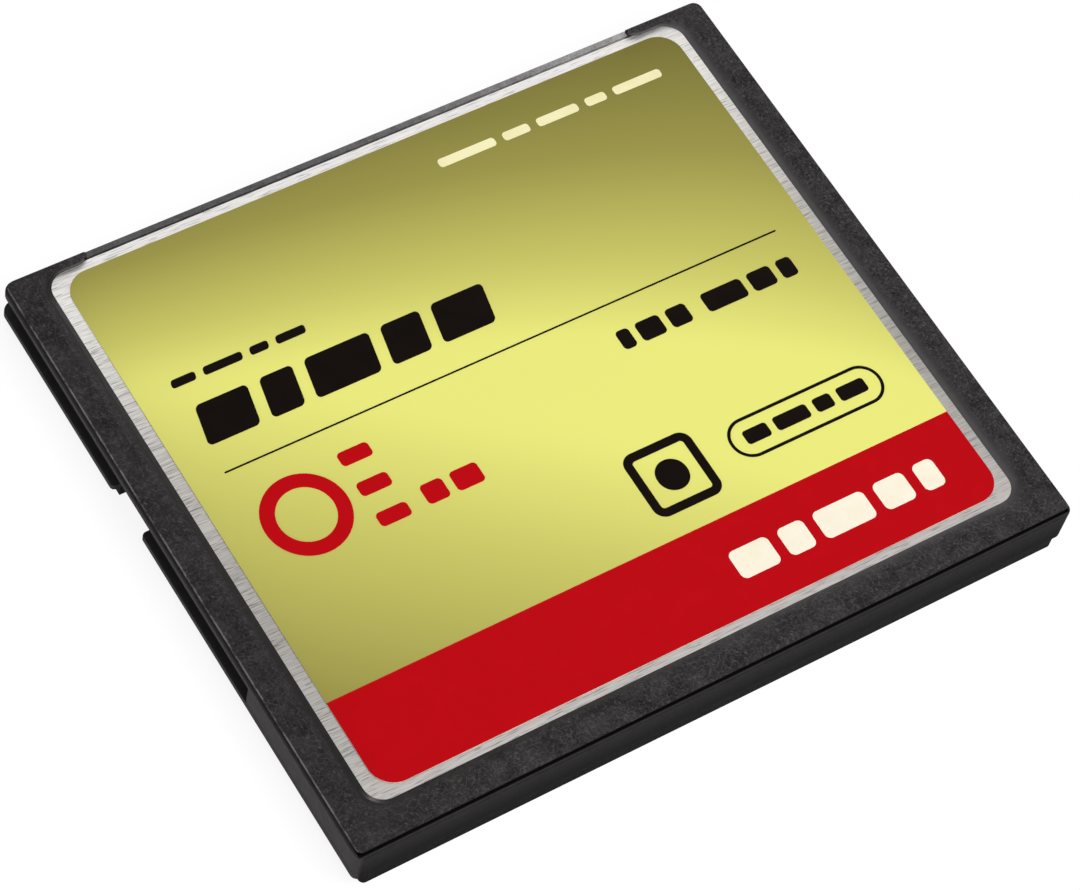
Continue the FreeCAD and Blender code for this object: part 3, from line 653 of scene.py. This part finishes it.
# in millimetres; widths are shares of a row
printPlan = {
    "heading": dict(x0=2.8, x1=16.9, y0=14.65, y1=15.2, widths=(3, 1.4, 2.2, 1.1, 2.6), gap=0.5, radius=0.2),
    "lineAbove": dict(x0=-16.5, x1=-8.7, y0=8.85, y1=9.35, widths=(1.3, 2.1, 1.0, 1.6), gap=0.45,
                      radius=0.18, slant=0.2),
    "bold": dict(x0=-16.3, x1=0.7, y0=5.1, y1=7.5, widths=(2.2, 1.4, 2.8, 1.7, 2.3), gap=0.7, radius=0.3,
                 slant=0.2),
    "rule": dict(x0=-16.6, x1=16.9, y0=3.35, y1=3.45, radius=0.04),
    "ring": dict(x0=-16.5, x1=-11.75, y0=-2.9, y1=1.85, radius=2.375, stroke=0.8),
    "tabs": dict(x0=-11.1, x1=-9.3, radius=0.25),
    "tabFeet": (-2.9, -0.95, 1.0), "tabHeight": 0.85,
    "bars": dict(x0=-8.3, x1=-4.95, y0=-2.85, y1=-1.65, widths=(1.2, 1.5), gap=0.45, radius=0.25),
    "speedLeft": dict(x0=5.6, x1=9.9, y0=0.55, y1=1.75, widths=(0.7, 1.3, 1.1), gap=0.4, radius=0.25),
    "speedRight": dict(x0=10.9, x1=16.6, y0=0.55, y1=1.75, widths=(1.9, 1.1, 0.7), gap=0.4, radius=0.25),
    "signFrame": dict(x0=1.7, x1=5.8, y0=-8.9, y1=-4.85, radius=0.7, stroke=0.5),
    "signDot": dict(x0=2.85, x1=4.65, y0=-7.8, y1=-5.95, radius=0.88),
    "pill": dict(x0=7.4, x1=16.85, y0=-8.0, y1=-5.6, radius=1.18, stroke=0.18),
    "pillInside": dict(x0=8.3, x1=15.9, y0=-7.2, y1=-6.35, widths=(1.2, 1.7, 0.9, 1.4), gap=0.4, radius=0.2),
    "bandMark": dict(x0=3.7, x1=16.4, y0=-13.75, y1=-12.05, widths=(1.5, 1.0, 2.0, 1.2, 0.8), gap=0.6,
                     radius=0.35),
}


def planned(*keys):
    # the shapes of the named entries of the plan: those with widths are rows
    shapes = []
    for key in keys:
        entry = printPlan[key]
        shapes += rowShapes(**entry) if "widths" in entry else [blockShape(**entry)]
    return shapes


tabs = [blockShape(y0=foot, y1=foot + printPlan["tabHeight"], **printPlan["tabs"])
        for foot in printPlan["tabFeet"]]
makePrint("print_heading", planned("heading"), inkPale)
makePrint("print_line_above", planned("lineAbove"), inkBlack)
makePrint("print_bold_row", planned("bold"), inkBlack)
makePrint("print_rule", planned("rule"), inkBlack)
makePrint("print_large_ring", planned("ring") + tabs + planned("bars"), inkRed)
makePrint("print_speed_row", planned("speedLeft", "speedRight"), inkBlack)
makePrint("print_sign", planned("signFrame", "signDot"), inkBlack)
makePrint("print_pill", planned("pill", "pillInside"), inkBlack)
makePrint("print_band_mark", planned("bandMark"), inkCream)
print("stage 4: print laid on the label")


# Floor, light and camera

stagePlan = {"size": 1.2, "level": -0.00001, "bounce": 0.5, "seenDiffuse": 0.13, "seenGlow": 0.89,
             "worldLight": 0.32, "worldSeen": 1.0}


def seenRays(tree):
    # 1 for the rays that show the background: camera, glossy and transmission rays
    rays = addNode(tree, "LightPath").outputs
    through = highest(tree, rays["Is Glossy Ray"], rays["Is Transmission Ray"])
    return highest(tree, rays["Is Camera Ray"], through)


def evenGrey(level):
    # a grey of one level in red, green and blue
    return (level, level, level, 1.0)


def makeFloor():
    # pale floor: a level grid of three by three points, white where it is seen, with the card's soft shadow
    steps = np.linspace(-stagePlan["size"] / 2, stagePlan["size"] / 2, 3)
    x, y = np.meshgrid(steps, steps)
    verts = np.column_stack([x.ravel(), y.ravel(), np.full(x.size, stagePlan["level"])])
    corner = np.array([0, 1, 3, 4])
    faces = np.column_stack([corner, corner + 1, corner + 4, corner + 3])
    mesh = bpy.data.meshes.new("floor")
    mesh.from_pydata(verts.tolist(), [], faces.tolist())
    material = bpy.data.materials.new("paleFloor")
    material.use_nodes = True
    tree = material.node_tree
    tree.nodes.clear()
    bounce = addNode(tree, "BsdfDiffuse", {"Color": evenGrey(stagePlan["bounce"])}).outputs[0]
    shown = addNode(tree, "BsdfDiffuse", {"Color": evenGrey(stagePlan["seenDiffuse"])}).outputs[0]
    glow = addNode(tree, "Emission", {"Strength": stagePlan["seenGlow"]}).outputs[0]
    white = addNode(tree, "AddShader", {0: shown, 1: glow}).outputs[0]
    surface = addNode(tree, "MixShader", {0: seenRays(tree), 1: bounce, 2: white}).outputs[0]
    tree.links.new(surface, addNode(tree, "OutputMaterial").inputs["Surface"])
    mesh.materials.append(material)
    floor = bpy.data.objects.new("floor", mesh)
    bpy.context.scene.collection.objects.link(floor)


def makeWorld():
    # even pale surroundings: white where seen, a plain level as light
    world = bpy.data.worlds.new("paleRoom")
    world.use_nodes = True
    bpy.context.scene.world = world
    tree = world.node_tree
    tree.nodes.clear()
    strength = remap(tree, seenRays(tree), 0.0, 1.0, stagePlan["worldLight"], stagePlan["worldSeen"])
    background = addNode(tree, "Background", {"Strength": strength})
    tree.links.new(background.outputs[0], addNode(tree, "OutputWorld").inputs["Surface"])


lampPlan = {
    "key": dict(place=(0.05, -0.17, 0.38), size=0.26, power=1.31),
    "side": dict(place=(-0.42, -0.08, 0.045), size=0.08, power=1.2),
    "behind": dict(place=(0.33, 0.30, 0.07), size=0.10, power=0.7),
}


def makeLamps():
    # soft square lamps that face the card
    for name, plan in lampPlan.items():
        lamp = bpy.data.lights.new(name, "AREA")
        lamp.size = plan["size"]
        lamp.energy = plan["power"]
        holder = bpy.data.objects.new(name, lamp)
        place = Vector(plan["place"])
        holder.location = place
        holder.rotation_euler = (-place).to_track_quat("-Z", "Y").to_euler()
        bpy.context.scene.collection.objects.link(holder)


cameraPlan = {"place": (-77.986, -79.202, 173.272), "azimuth": -44.8734, "elevation": 57.498,
              "roll": 15.6637, "lens": 132.47, "sensor": 36.0, "clip": (0.01, 10.0)}


def makeCamera():
    # camera by its place in millimetres, the way it looks and its roll: back points from the card to the
    # camera, right is level, and both right and up are then turned about back
    azimuth, elevation, roll = (math.radians(cameraPlan[key]) for key in ("azimuth", "elevation", "roll"))
    back = Vector((math.sin(azimuth) * math.cos(elevation), -math.cos(azimuth) * math.cos(elevation),
                   math.sin(elevation)))
    right = Vector((math.cos(azimuth), math.sin(azimuth), 0.0))
    turned = right * math.cos(roll) + back.cross(right) * math.sin(roll)
    camera = bpy.data.cameras.new("camera")
    camera.lens = cameraPlan["lens"]
    camera.sensor_width = cameraPlan["sensor"]
    camera.clip_start, camera.clip_end = cameraPlan["clip"]
    holder = bpy.data.objects.new("camera", camera)
    rows = Matrix((turned, back.cross(turned), back)).transposed().to_4x4()
    rows.translation = Vector(cameraPlan["place"]) * mm
    holder.matrix_world = rows
    bpy.context.scene.collection.objects.link(holder)
    bpy.context.scene.camera = holder


makeFloor()
makeWorld()
makeLamps()
makeCamera()
bpy.context.scene.view_settings.view_transform = "Standard"
print("stage 5: floor, light and camera set")
